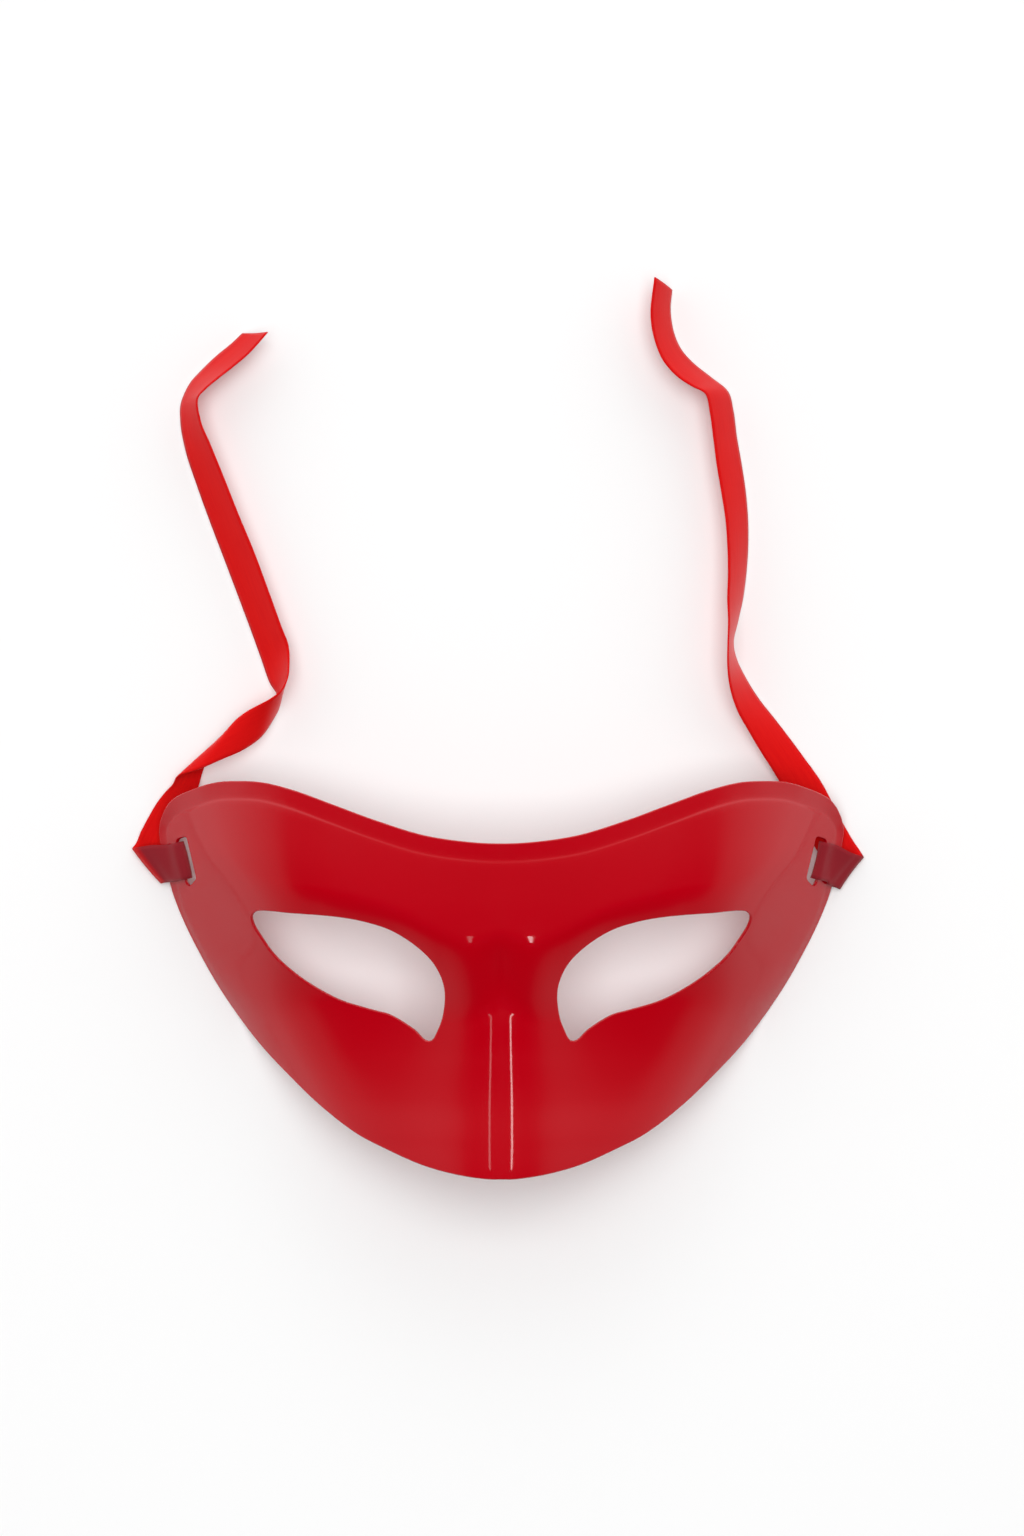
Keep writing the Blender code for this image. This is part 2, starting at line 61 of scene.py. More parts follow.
camera_data = bpy.data.cameras.new("photo_camera")
camera_data.lens = CAMERA_LENS
camera_data.sensor_width = 36.0
camera_data.clip_start = 0.05
camera_data.clip_end = 20.0
camera = bpy.data.objects.new("photo_camera", camera_data)
camera.location = [v * MM for v in CAMERA_PLACE]
bpy.context.scene.collection.objects.link(camera)
bpy.context.scene.camera = camera
print("camera height in mm:", CAMERA_PLACE[2])

# %% [markdown]
# ## Smooth tables
# A hand-made form such as a face has no simple equation, but it can be read at a few places.
# These helpers draw a smooth curve through such a short table, so that a dozen rows are enough
# to give a clean surface at any fineness.

# %% Helpers for tables
# Points measured at once, which keeps the memory small
BATCH = 2000


def smooth_table(at, rows, column=1):
    """Values of one column of a table at the given places, on a smooth curve."""
    rows = np.asarray(rows, float)
    places = rows[:, 0]
    values = rows[:, column]
    slopes = np.gradient(values, places)
    at = np.clip(np.asarray(at, float), places[0], places[-1])
    index = np.clip(np.searchsorted(places, at) - 1, 0, len(places) - 2)
    span = places[index + 1] - places[index]
    t = (at - places[index]) / span
    rise = t * t * (3 - 2 * t)
    lead = t * (1 - t) ** 2
    tail = t * t * (t - 1)
    start = values[index]
    end = values[index + 1]
    return start + (end - start) * rise + span * (slopes[index] * lead + slopes[index + 1] * tail)


def line_length(points):
    """Length of a line of points."""
    return float(np.linalg.norm(np.diff(points, axis=0), axis=1).sum())


def smoothstep(t):
    """Zero below 0, one above 1, and a soft rise between."""
    t = np.clip(t, 0.0, 1.0)
    return t * t * (3 - 2 * t)


def curve_through(points, spacing, closed):
    """Points at about the given spacing on a smooth curve through a table of points."""
    points = np.asarray(points, float)
    count = len(points)
    spans = count if closed else count - 1
    out = []
    for i in range(spans):
        if closed:
            p0, p1, p2, p3 = (points[(i + k) % count] for k in (-1, 0, 1, 2))
        else:
            # The ends lie on the middle line, so the curve goes on into its mirror image
            p0 = points[i - 1] if i else points[1] * (-1, 1)
            p1 = points[i]
            p2 = points[i + 1]
            p3 = points[i + 2] if i + 2 < count else points[-2] * (-1, 1)
        steps = max(1, round(float(np.linalg.norm(p2 - p1)) / spacing))
        k0 = math.sqrt(max(float(np.linalg.norm(p1 - p0)), 1e-9))
        k1 = math.sqrt(max(float(np.linalg.norm(p2 - p1)), 1e-9))
        k2 = math.sqrt(max(float(np.linalg.norm(p3 - p2)), 1e-9))
        m1 = (p2 - p1) + k1 * ((p1 - p0) / k0 - (p2 - p0) / (k0 + k1))
        m2 = (p2 - p1) + k1 * ((p3 - p2) / k2 - (p3 - p1) / (k1 + k2))
        for step in range(steps):
            t = step / steps
            rise = t * t * (3 - 2 * t)
            out.append(p1 + (p2 - p1) * rise + m1 * t * (1 - t) ** 2 + m2 * t * t * (t - 1))
    if not closed:
        out.append(points[-1])
    return np.array(out)


# %% [markdown]
# ## The outline, the eye holes and the strap slots
# A moulded mask is trimmed after it is formed, so its edge, its eye holes and its slots are flat
# curves cut through the shell. Each is given for one half of the mask, as shares of its half
# width and half height, so that the mask can be made wider or higher by one number.

# %% Trim lines of the mask
MASK_WIDTH = 180.6
MASK_HEIGHT = 101.0
HALF = np.array([MASK_WIDTH / 2, MASK_HEIGHT / 2])

# From the forehead's middle round the temple to the middle under the nose
OUTLINE = (
    (0.000, 0.686), (0.087, 0.693), (0.215, 0.726), (0.354, 0.801), (0.471, 0.877),
    (0.592, 0.954), (0.682, 0.993), (0.747, 1.000), (0.817, 0.994), (0.874, 0.968),
    (0.958, 0.899), (0.990, 0.815), (1.000, 0.736), (0.995, 0.664), (0.980, 0.555),
    (0.962, 0.402), (0.928, 0.246), (0.883, 0.087), (0.834, -0.069), (0.775, -0.225),
    (0.703, -0.378), (0.619, -0.521), (0.527, -0.662), (0.415, -0.800), (0.326, -0.873),
    (0.225, -0.943), (0.130, -0.982), (0.039, -1.000), (0.000, -1.000),
)

# Clockwise from the outer corner
EYE = (
    (0.703, 0.329), (0.592, 0.323), (0.456, 0.305), (0.385, 0.282), (0.314, 0.241),
    (0.242, 0.161), (0.189, 0.064), (0.163, -0.054), (0.167, -0.186), (0.182, -0.264),
    (0.199, -0.316), (0.216, -0.315), (0.247, -0.264), (0.319, -0.189), (0.359, -0.171),
    (0.463, -0.119), (0.548, -0.042), (0.608, 0.035), (0.653, 0.111), (0.684, 0.188),
    (0.710, 0.265), (0.714, 0.306),
)

SLOT = ((0.915, 0.710), (0.886, 0.491), (0.907, 0.451), (0.914, 0.469), (0.944, 0.692))
SLOT_CORNER = 0.8


def outline_half(spacing):
    """The trimmed edge of the half with positive X, from the forehead down to the nose."""
    line = curve_through(np.array(OUTLINE) * HALF, spacing, closed=False)
    line[0, 0] = 0.0
    line[-1, 0] = 0.0
    return line


def inward_normals(line):
    """Unit vectors that point into the mask, for a line down the side of positive X."""
    along = np.gradient(line, axis=0)
    along[0] = (1.0, 0.0)
    along[-1] = (-1.0, 0.0)
    normals = np.stack([along[:, 1], -along[:, 0]], axis=1)
    return normals / np.linalg.norm(normals, axis=1, keepdims=True)


def rounded_corners(table, radius):
    """The loop of a table with a short arc at each corner."""
    corners = np.array(table) * HALF
    out = []
    for i, corner in enumerate(corners):
        before = corners[i - 1] - corner
        after = corners[(i + 1) % len(corners)] - corner
        start = corner + before * min(0.4, radius / np.linalg.norm(before))
        end = corner + after * min(0.4, radius / np.linalg.norm(after))
        for t in (0.0, 0.25, 0.5, 0.75, 1.0):
            out.append(start * (1 - t) ** 2 + corner * 2 * t * (1 - t) + end * t * t)
    return np.array(out)


RIM = outline_half(0.25)
RIM_INWARD = inward_normals(RIM)
print("trimmed edge of one half:", round(line_length(RIM)), "mm")

# %% [markdown]
# ## The moulded form
# The shell is a forehead that arches over the brow, cheeks that fall away below the eyes, and a
# shallow nose. Forehead and cheeks are two simple heights over the table, and a smooth step
# blends one into the other along the brow line. The nose is a soft ridge added on top. Along the
# trimmed edge runs a flatter margin, one small step lower than the face.

# %% Height of the outer surface
BROW_RISE = 36.6
CHEEK_RISE = 30.5
NOSE_RISE = 8.5
MARGIN_FOREHEAD = 4.8
MARGIN_TEMPLE = 2.6
MARGIN_CHEEK = 1.5
MARGIN_DROP = 0.28
MARGIN_SOFTNESS = 0.6
CREASE = 0.5
MARGIN_FALL = 0.45
NOSE_SPREAD = 19.2
CREST = 11.3
BROW_POWER = 4.2
CHEEK_POWER = 7.7
CHEEK_FALL = 0.535
LEAN_FROM = 0.11
LEAN = 0.25
TRIM = 3.42

# Half width at which the wall would meet the table: share of the height, share of the width
FOOT_LINE = (
    (-1.10, 0.50), (-1.00, 0.551), (-0.83, 0.602), (-0.68, 0.651), (-0.53, 0.693), (-0.38, 0.736),
    (-0.226, 0.780), (-0.069, 0.839), (0.087, 0.894), (0.246, 0.940), (0.403, 0.980),
    (0.556, 1.018), (0.738, 1.053), (0.901, 1.085), (1.00, 1.102), (1.10, 1.117),
)
# Where the forehead turns down to the eyes: share across, share of the height, reach as such
BROW_LINE = (
    (0.000, 0.263, 0.425), (0.090, 0.222, 0.455), (0.180, 0.270, 0.495), (0.310, 0.382, 0.536),
    (0.510, 0.467, 0.616), (0.680, 0.511, 0.695), (0.830, 0.706, 0.654), (1.000, 1.000, 0.576),
)
# Cheek height along the mask: share of the height, share of the cheek's rise
CHEEK_LINE = (
    (-1.20, 1.184), (-1.00, 1.266), (-0.83, 1.224), (-0.615, 1.113), (-0.40, 1.023),
    (-0.10, 0.961), (0.30, 0.949), (1.00, 0.998),
)
# How far the nose stands out over the cheeks: share of the height, share of its rise
NOSE_LINE = (
    (-1.20, 0.80), (-1.00, 0.394), (-0.83, 0.366), (-0.60, 0.512), (-0.40, 0.693), (-0.10, 0.792),
    (0.15, 0.486), (0.40, 0.458), (1.20, 0.793),
)


def plain_height(x, y):
    """Height of the outer surface before the margin is pressed in."""
    u = np.abs(x)
    share_x = u / HALF[0]
    share_y = y / HALF[1]
    across = u / (HALF[0] * smooth_table(share_y, FOOT_LINE))
    lean = LEAN * np.maximum(0.0, share_y - LEAN_FROM) ** 2
    brow = BROW_RISE * (1 - across**BROW_POWER - lean)
    cheek_top = CHEEK_RISE * smooth_table(share_y, CHEEK_LINE)
    crest = across / np.maximum(u, 1e-9) * (np.sqrt(u * u + CREST**2) - CREST)
    cheek = cheek_top * (1 - CHEEK_FALL * crest - (1 - CHEEK_FALL) * across**CHEEK_POWER)
    ridge = smooth_table(share_x, BROW_LINE) * HALF[1]
    reach = smooth_table(share_x, BROW_LINE, column=2) * HALF[1]
    face = brow + (cheek - brow) * smoothstep((ridge - y) / reach)
    nose = NOSE_RISE * smooth_table(share_y, NOSE_LINE)
    return face + nose * NOSE_SPREAD**2 / (u * u + NOSE_SPREAD**2)


def nearest_rim(x, y):
    """Nearest sample of the trimmed edge to each point, as an index."""
    found = np.empty(len(x), int)
    for start in range(0, len(x), BATCH):
        part = slice(start, start + BATCH)
        gap_x = x[part, None] - RIM[None, :, 0]
        gap_y = y[part, None] - RIM[None, :, 1]
        found[part] = np.argmin(gap_x * gap_x + gap_y * gap_y, axis=1)
    return found


def margin(line, inward):
    """Width of the margin, share of its step and share of its flatter fall, along a line."""
    share_y = line[:, 1] / HALF[1]
    facing_top = smoothstep(-inward[:, 1])
    temple = smoothstep((share_y - 0.25) / 0.3)
    width = MARGIN_CHEEK + (MARGIN_TEMPLE - MARGIN_CHEEK) * temple
    width += (MARGIN_FOREHEAD - MARGIN_TEMPLE) * facing_top
    return width, smoothstep((share_y + 0.25) / 0.45), smoothstep((share_y - 0.35) / 0.25)


def height(x, y):
    """Height of the outer surface over the table, in mm."""
    x = np.abs(np.asarray(x, float))
    y = np.asarray(y, float)
    index = nearest_rim(x, y)
    inward = RIM_INWARD[index]
    depth = (x - RIM[index, 0]) * inward[:, 0] + (y - RIM[index, 1]) * inward[:, 1]
    band, stepped, flatter = margin(RIM[index], inward)
    inside = 0.5 * (band - depth + np.sqrt((band - depth) ** 2 + CREASE**2))
    inside = np.where(depth > band + 6 * CREASE, 0.0, inside)
    crease = RIM[index] + inward * band[:, None]
    lower = RIM[index] + inward * (band - inside)[:, None]
    fall = plain_height(crease[:, 0], crease[:, 1]) - plain_height(lower[:, 0], lower[:, 1])
    lift = (1 - MARGIN_FALL) * np.maximum(fall, 0.0) * flatter
    pressed = smoothstep((band + MARGIN_SOFTNESS - depth) / (2 * MARGIN_SOFTNESS))
    return plain_height(x, y) + lift - MARGIN_DROP * stepped * pressed


def normals_at(x, y, reach=0.25):
    """Unit normals of the outer surface, pointing away from the face."""
    slope_x = (height(x + reach, y) - height(x - reach, y)) / (2 * reach)
    slope_y = (height(x, y + reach) - height(x, y - reach)) / (2 * reach)
    slope_x = np.where(np.abs(x) < 1e-6, 0.0, slope_x)
    normals = np.stack([-slope_x, -slope_y, np.ones_like(slope_x)], axis=1)
    return normals / np.linalg.norm(normals, axis=1, keepdims=True)


nose_tip = height(np.zeros(3), np.array([-42.3, -30.0, 10.0])) - TRIM
print("ridge of the nose at three places:", [round(float(z), 1) for z in nose_tip])

# %% [markdown]
# ## From trim lines to a sheet
# The sheet is drawn flat first, as a mesh of near-equal triangles that follows every trim line
# and the margin's step. Blender's constrained Delaunay triangulation does that: it takes points
# and edges and keeps the edges. One half is drawn and mirrored, so both halves match.

# %% Flat sheet of one half
FACET = 1.15
RIM_FACET = 0.9
# How far the rounded edge reaches over the skin's own last row
EDGE_ROUND = 0.40
# Free room between the points of the lines and those of the middle line and of the grid
SPINE_ROOM = 0.35
GRID_ROOM = 0.62 * FACET


def inside_loop(points, loop):
    """Which points lie inside a closed loop."""
    found = np.zeros(len(points), int)
    x, y = points[:, 0], points[:, 1]
    for (x1, y1), (x2, y2) in zip(loop, np.roll(loop, -1, axis=0)):
        if y1 != y2:
            at = x1 + (y - y1) * (x2 - x1) / (y2 - y1)
            found += ((y1 > y) != (y2 > y)) & (x < at)
    return found % 2 == 1


def distance_to(points, line):
    """Distance from each point to the nearest point of a line."""
    found = []
    for start in range(0, len(points), BATCH):
        gap = points[start : start + BATCH, None, :] - line[None, :, :]
        found.append(np.sqrt((gap * gap).sum(axis=2).min(axis=1)))
    return np.concatenate(found)


def grown(loop, by):
    """A closed loop, clockwise or not, moved outwards by a distance."""
    along = np.roll(loop, -1, axis=0) - np.roll(loop, 1, axis=0)
    normals = np.stack([along[:, 1], -along[:, 0]], axis=1)
    normals /= np.linalg.norm(normals, axis=1, keepdims=True)
    area = (loop[:, 0] * np.roll(loop[:, 1], -1) - np.roll(loop[:, 0], -1) * loop[:, 1]).sum()
    return loop + normals * by * (1 if area > 0 else -1)


def half_sheet():
    """Points and triangles of the mask's half with positive X, in plan."""
    rim = outline_half(RIM_FACET)
    inward = inward_normals(rim)
    band = margin(rim, inward)[0]
    lines = []
    for offset in (EDGE_ROUND, band - MARGIN_SOFTNESS, band, band + MARGIN_SOFTNESS):
        line = rim + inward * np.broadcast_to(offset, len(rim))[:, None]
        line[0, 0] = 0.0
        line[-1, 0] = 0.0
        lines.append(line)
    rim = lines[0]
    eye = grown(curve_through(np.array(EYE) * HALF, RIM_FACET, closed=True), EDGE_ROUND)
    slot = grown(rounded_corners(SLOT, SLOT_CORNER), EDGE_ROUND)
    steps = round((rim[0, 1] - rim[-1, 1]) / FACET)
    spine = np.stack([np.zeros(steps + 1), np.linspace(rim[-1, 1], rim[0, 1], steps + 1)], axis=1)
    spine = spine[1:-1]
    for line in lines[1:]:
        spine = spine[np.abs(spine[:, 1] - line[0, 1]) > SPINE_ROOM]
        spine = spine[np.abs(spine[:, 1] - line[-1, 1]) > SPINE_ROOM]
    tall = FACET * math.sqrt(3) / 2
    rows = []
    for j in range(int(MASK_HEIGHT / tall) + 1):
        shift = 0.5 * FACET if j % 2 else 0.0
        xs = np.arange(shift + 0.8 * FACET, HALF[0], FACET)
        rows.append(np.stack([xs, np.full(len(xs), -HALF[1] + j * tall)], axis=1))
    grid = np.concatenate(rows)
    grid = grid[inside_loop(grid, rim) & ~inside_loop(grid, eye) & ~inside_loop(grid, slot)]
    for line in (*lines, eye, slot):
        grid = grid[distance_to(grid, line) > GRID_ROOM]
    points = []
    edges = []
    for line, closed in [(line, False) for line in lines] + [(eye, True), (slot, True)]:
        first = len(points)
        points += [tuple(p) for p in line]
        edges += [(first + i, first + i + 1) for i in range(len(line) - 1)]
        if closed:
            edges.append((first + len(line) - 1, first))
    points += [tuple(p) for p in spine]
    points += [tuple(p) for p in grid]
    found = delaunay_2d_cdt([Vector(p) for p in points], edges, [], 0, 1e-5)
    flat = np.array([tuple(p) for p in found[0]])
    triangles = np.array([tuple(face) for face in found[2]])
    corners = flat[triangles]
    centres = corners.mean(axis=1)
    hull = np.concatenate([rim, [[-1e-4, rim[-1, 1]], [-1e-4, rim[0, 1]]]])
    side = corners[:, 1:] - corners[:, :1]
    area = side[:, 0, 0] * side[:, 1, 1] - side[:, 0, 1] * side[:, 1, 0]
    good = inside_loop(centres, hull) & ~inside_loop(centres, eye) & ~inside_loop(centres, slot)
    good &= np.abs(area) > 1e-6
    triangles = triangles[good]
    backwards = area[good] < 0
    triangles[backwards] = triangles[backwards][:, ::-1]
    return flat, triangles


def whole_sheet():
    """The half sheet and its mirror image, joined on the middle line."""
    flat, triangles = half_sheet()
    flat[np.abs(flat[:, 0]) < 1e-4, 0] = 0.0
    off_middle = np.nonzero(flat[:, 0] > 0)[0]
    twin = np.arange(len(flat))
    twin[off_middle] = len(flat) + np.arange(len(off_middle))
    flat = np.concatenate([flat, flat[off_middle] * (-1, 1)])
    triangles = np.concatenate([triangles, twin[triangles][:, ::-1]])
    used = np.unique(triangles)
    renumber = np.full(len(flat), -1)
    renumber[used] = np.arange(len(used))
    return flat[used], renumber[triangles]


sheet_plan, sheet_triangles = whole_sheet()
print("sheet:", len(sheet_plan), "points,", len(sheet_triangles), "triangles")

# %% [markdown]
# ## The shell's wall and its rounded edges
# A moulded wall has an outer skin, an inner skin and, wherever it was trimmed, an edge that the
# finisher has eased. The edge is drawn as half an ellipse that turns from one skin to the other,
# because a square edge would show no line of light in the picture. The skin's own normals come
# from the height formula, which keeps reflections smooth over the triangles.

# %% Shell mesh
WALL = 1.0
EDGE_ROWS = 6


def edge_loops(triangles):
    """The open edges of a sheet, as ordered loops of point numbers."""
    edges = np.concatenate([triangles[:, [0, 1]], triangles[:, [1, 2]], triangles[:, [2, 0]]])
    there = {tuple(edge) for edge in edges.tolist()}
    after = {a: b for a, b in there if (b, a) not in there}
    loops = []
    while after:
        start = min(after)
        loop = [start]
        while after[loop[-1]] != start:
            loop.append(after[loop[-1]])
        for point in loop:
            del after[point]
        loops.append(loop)
    return loops


def shell_mesh():
    """Points, faces and normals of the whole shell, in mm."""
    flat, triangles = sheet_plan, sheet_triangles
    count = len(flat)
    up = normals_at(flat[:, 0], flat[:, 1])
    outer = np.column_stack([flat, height(flat[:, 0], flat[:, 1])])
    points = [outer, outer - WALL * up]
    normals = [up, -up]
    faces = [tuple(face) for face in triangles.tolist()]
    faces += [tuple(count + i for i in reversed(face)) for face in triangles.tolist()]
    total = 2 * count
    for loop in edge_loops(triangles):
        size = len(loop)
        skin = outer[loop]
        lift = up[loop]
        along = np.roll(skin, -1, axis=0) - np.roll(skin, 1, axis=0)
        out = np.cross(along, lift)
        out /= np.linalg.norm(out, axis=1, keepdims=True)
        rows = [np.array(loop)]
        for k in range(1, EDGE_ROWS):
            angle = math.pi * k / EDGE_ROWS
            drop = WALL / 2 * (1 - math.cos(angle))
            points.append(skin - lift * drop + out * EDGE_ROUND * math.sin(angle))
            normal = lift * math.cos(angle) / (WALL / 2) + out * math.sin(angle) / EDGE_ROUND
            normals.append(normal / np.linalg.norm(normal, axis=1, keepdims=True))
            rows.append(total + np.arange(size))
            total += size
        rows.append(np.array(loop) + count)
        for upper, lower in zip(rows, rows[1:]):
            for i in range(size):
                j = (i + 1) % size
                faces.append((int(upper[j]), int(upper[i]), int(lower[i]), int(lower[j])))
    points = np.concatenate(points)
    points[:, 2] = np.maximum(points[:, 2] - TRIM, 0.0)
    return points, faces, np.concatenate(normals)


def add_piece(name, points, faces, normals=None):
    """A smooth mesh object from points in millimetres."""
    mesh = bpy.data.meshes.new(name)
    mesh.from_pydata([tuple(p * MM) for p in points], [], faces)
    mesh.shade_smooth()
    if normals is not None:
        mesh.normals_split_custom_set_from_vertices([tuple(n) for n in normals])
    piece = bpy.data.objects.new(name, mesh)
    bpy.context.scene.collection.objects.link(piece)
    return piece


mask = add_piece("moulded_shell", *shell_mesh())
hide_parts("mask_shell")
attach(mask, "root")
print("shell faces:", len(mask.data.polygons))

# %% [markdown]
# ## Colours and nodes
# Every colour is written as it looks on a screen, in sRGB hex, and one function turns it into
# the linear values that a shader needs. One more function adds a node with its settings and the
# values or links of its inputs, which keeps each material readable from top to bottom.

# %% Helpers for materials


def linear(hex_colour):
    """Linear red, green, blue and alpha of one sRGB hex colour."""
    out = []
    for i in (1, 3, 5):
        share = int(hex_colour[i : i + 2], 16) / 255
        out.append(share / 12.92 if share <= 0.04045 else ((share + 0.055) / 1.055) ** 2.4)
    return (*out, 1.0)


def add_node(tree, kind, settings=None, inputs=None):
    """Add a node; an input takes either a value or the socket that feeds it."""
    made = tree.nodes.new(kind)
    for name, value in (settings or {}).items():
        setattr(made, name, value)
    for name, value in (inputs or {}).items():
        if isinstance(value, bpy.types.NodeSocket):
            tree.links.new(value, made.inputs[name])
        else:
            made.inputs[name].default_value = value
    return made


def new_material(name):
    """An empty material and its node tree, with an output node."""
    material = bpy.data.materials.new(name)
    material.use_nodes = True
    tree = material.node_tree
    tree.nodes.clear()
    return material, tree, add_node(tree, "ShaderNodeOutputMaterial")


# %% [markdown]
# ## Glossy moulded plastic
# The shell is pigmented plastic with a mould-polished face: deep red, hard and mirror-smooth
# close up, with the slow waviness that a thin moulded sheet always has. The waves are a few
# centimetres long and a few hundredths of a millimetre deep, and they are what makes the
# reflected edges of the lights wander. A finer ripple stands for the skin of the plastic itself.

# %% Plastic


def moulded_plastic():
    """High-gloss PVC sheet, pigmented red through and through."""
    material, tree, output = new_material("glossy_red_pvc")
    place = add_node(tree, "ShaderNodeTexCoord").outputs["Object"]
    waves = add_node(
        tree, "ShaderNodeTexNoise", inputs={"Vector": place, "Scale": 1 / (28 * MM), "Detail": 1.5}
    )
    wavy = add_node(
        tree,
        "ShaderNodeBump",
        inputs={"Height": waves.outputs["Fac"], "Distance": 0.08 * MM, "Strength": 0.6},
    )
    skin = add_node(
        tree, "ShaderNodeTexNoise", inputs={"Vector": place, "Scale": 1 / (1.6 * MM), "Detail": 2.0}
    )
    rippled = add_node(
        tree,
        "ShaderNodeBump",
        inputs={
            "Height": skin.outputs["Fac"],
            "Distance": 0.004 * MM,
            "Strength": 0.5,
            "Normal": wavy.outputs["Normal"],
        },
    )
    depth = add_node(
        tree, "ShaderNodeTexNoise", inputs={"Vector": place, "Scale": 1 / (40 * MM), "Detail": 2.0}
    )
    colour = add_node(
        tree,
        "ShaderNodeMix",
        {"data_type": "RGBA"},
        {"Factor": depth.outputs["Fac"], "A": linear("#B00012"), "B": linear("#A8000E")},
    )
    shader = add_node(
        tree,
        "ShaderNodeBsdfPrincipled",
        inputs={
            "Base Color": colour.outputs["Result"],
            "Roughness": 0.06,
            "IOR": 1.5,
            "Normal": rippled.outputs["Normal"],
        },
    )
    tree.links.new(shader.outputs["BSDF"], output.inputs["Surface"])
    return material


mask.data.materials.append(moulded_plastic())
print("shell material:", mask.data.materials[0].name)

# %% [markdown]
# ## The routes of the ribbons
# A ribbon is flat and limp, so its route needs both of its sides, not only a middle line: where
# the two sides swap places it has rolled over. Each row is one station, with the place of one
# side and then of the other, counted from the slot's middle and up from the table. The first
# rows wrap the strip of shell outside the slot, and are the same on both sides of the mask.

# %% Ribbon stations
RIBBON_WIDTH = 10.0

# mm outward from the slot's outer side, mm above the outer surface there
WRAP = (
    (1.30, -4.50), (0.10, -3.10), (-0.95, -1.85), (-1.45, -1.20), (-1.62, -0.60), (-1.42, 0.05),
    (-1.00, 0.50), (-0.45, 0.85), (0.15, 0.95), (0.75, 0.62), (1.60, -0.25), (2.80, -1.45),
)
WRAP_SIDES = (0.06, 0.92)

# Outward, forward and height of one side, then of the other, in mm
LEFT_RUN = (
    (9.2, 5.1, 3.8, 3.9, -4.6, 4.2),
    (12.0, 4.7, 2.5, 5.4, -4.7, 2.7),
    (13.8, 4.4, 2.1, 6.3, -4.8, 2.1),
    (14.8, 4.2, 1.4, 7.2, -5.0, 1.4),
    (14.1, 5.3, 0.6, 6.6, -3.8, 0.6),
    (12.7, 8.5, 0.6, 4.5, 1.7, 0.6),
    (10.6, 12.5, 0.6, 1.9, 7.5, 0.6),
    (8.4, 16.2, 0.8, -0.5, 12.5, 0.8),
    (6.3, 18.9, 1.2, -2.0, 17.8, 1.2),
    (4.1, 21.1, 2.2, -3.8, 24.6, 1.7),
    (2.5, 23.3, 4.2, -6.8, 31.2, 3.4),
    (-2.9, 25.0, 6.4, -10.1, 35.0, 5.4),
    (-8.9, 27.5, 6.6, -13.0, 38.2, 6.4),
    (-14.6, 30.1, 5.6, -15.9, 40.3, 7.4),
    (-19.5, 33.8, 4.0, -19.3, 42.0, 8.6),
    (-22.4, 38.3, 2.6, -22.4, 43.6, 9.8),
    (-24.0, 41.7, 2.2, -24.9, 45.6, 10.2),
    (-23.5, 44.6, 1.8, -26.5, 48.7, 9.2),
    (-21.5, 47.8, 1.2, -26.9, 53.4, 7.6),
    (-19.4, 53.6, 0.9, -26.5, 57.9, 6.6),
    (-17.4, 59.2, 0.8, -25.0, 61.8, 6.6),
    (-13.5, 69.7, 0.8, -21.4, 71.8, 6.8),
    (-9.5, 80.3, 0.8, -17.5, 82.3, 6.8),
    (-5.7, 90.3, 0.8, -13.4, 92.2, 7.2),
    (-2.0, 100.6, 0.8, -9.5, 102.1, 7.6),
    (0.8, 109.3, 0.8, -6.2, 110.2, 8.2),
    (2.1, 116.7, 0.8, -3.7, 116.4, 8.8),
    (1.8, 122.2, 0.8, -3.1, 122.1, 9.3),
    (-0.3, 126.7, 0.8, -5.1, 124.5, 9.4),
    (-3.3, 130.1, 0.8, -8.1, 127.1, 9.0),
    (-7.1, 133.8, 0.8, -12.1, 130.3, 8.4),
    (-11.1, 137.1, 0.8, -16.4, 134.0, 8.2),
    (-14.2, 140.0, 0.8, -21.3, 139.5, 8.0),
)
